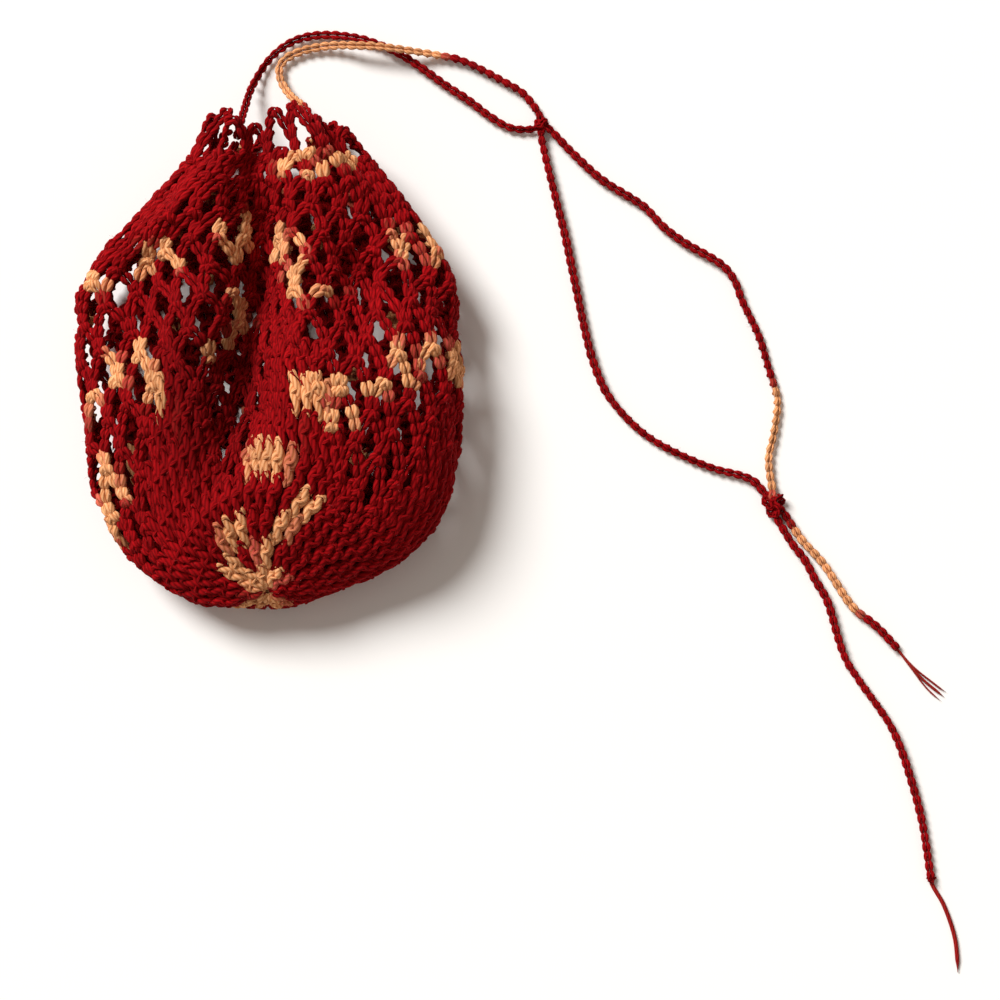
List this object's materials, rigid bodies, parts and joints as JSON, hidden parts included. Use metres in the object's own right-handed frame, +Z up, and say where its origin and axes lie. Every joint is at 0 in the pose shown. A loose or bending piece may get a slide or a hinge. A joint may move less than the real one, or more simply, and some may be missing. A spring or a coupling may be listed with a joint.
{
  "type": "crochet drawstring pouch",
  "caption": "Crochet drawstring pouch with a round dense base, net sides and a gathered neck, lying on its back with a knotted cord.",
  "frame": {"origin": "under the middle of the pouch, on the surface it lies on", "axes": "+Y from the base to the mouth, +X to the side on which the cord lies, +Z up from the surface"},
  "size_m": [0.3222, 0.348, 0.0495],
  "materials": {
    "crochet": "matt cotton yarn, dark red with peach stretches",
    "cord_red": "matt crocheted chain, dark red",
    "cord_peach": "matt crocheted chain, peach"
  },
  "bodies": {
    "root": {"pouch": "crochet", "drawstring_neck": "cord_red", "drawstring_left": "cord_red", "drawstring_right": "cord_peach", "strand_inner": "cord_red", "strand_outer": "cord_red", "tail_long": "cord_red", "tail_short": "cord_peach", "yarn_long": "cord_red", "yarn_short": "cord_red", "knot_upper": "cord_red", "knot_lower": "cord_red", "knot_tail": "cord_red"}
  },
  "joints": []
}
